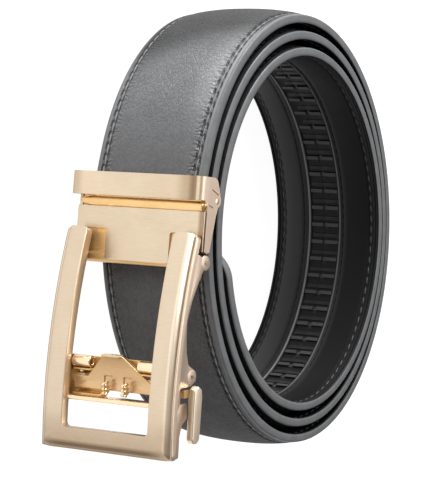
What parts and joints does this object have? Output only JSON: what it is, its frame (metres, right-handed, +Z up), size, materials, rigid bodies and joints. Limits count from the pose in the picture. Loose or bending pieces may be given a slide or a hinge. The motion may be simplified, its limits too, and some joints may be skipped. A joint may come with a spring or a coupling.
{
  "type": "ratchet belt",
  "caption": "Rolled leather belt with a padded strap, an inner ratchet track, a clamp, a hinged frame buckle and a sprung pawl with a side release lever.",
  "frame": {"origin": "centre of the bounding box at its bottom, where the belt lies on its side", "axes": "+Z up, along the coil's axis and across the strap; +X down the buckle from its clamp to its bottom bar; -Y out of the buckle's front"},
  "size_m": [0.1216, 0.1184, 0.045],
  "materials": {
    "leather_cover": "fine pebbled grain, grey painted edges",
    "leather_lining": "smooth black backing",
    "track_plastic": "satin black",
    "plated_metal": "brushed pale gold plate"
  },
  "bodies": {
    "strap": {"strap_cover": "leather_cover", "strap_lining": "leather_lining", "ratchet_track": "track_plastic", "clamp_body": "plated_metal", "clamp_jaw": "plated_metal", "hinge_pin": "plated_metal"},
    "frame": {"buckle_frame": "plated_metal", "crossbar": "plated_metal", "pawl_pin": "plated_metal", "pawl_spring_far": "plated_metal", "pawl_spring_near": "plated_metal"},
    "pawl": {"pawl_plate": "plated_metal", "release_lever": "plated_metal"}
  },
  "joints": [
    {"name": "frame_hinge", "type": "hinge", "parent": "strap", "child": "frame", "pos_m": [0.00273, -0.04034, 0.0213], "axis": [0.0119, 0.0414, 0.9991], "range_deg": [-6, 24]},
    {"name": "pawl_hinge", "type": "hinge", "parent": "frame", "child": "pawl", "pos_m": [0.03133, -0.04764, 0.02127], "axis": [0.0119, 0.0414, 0.9991], "range_deg": [0, 10], "stiffness_Nm_per_rad": 0.02}
  ]
}
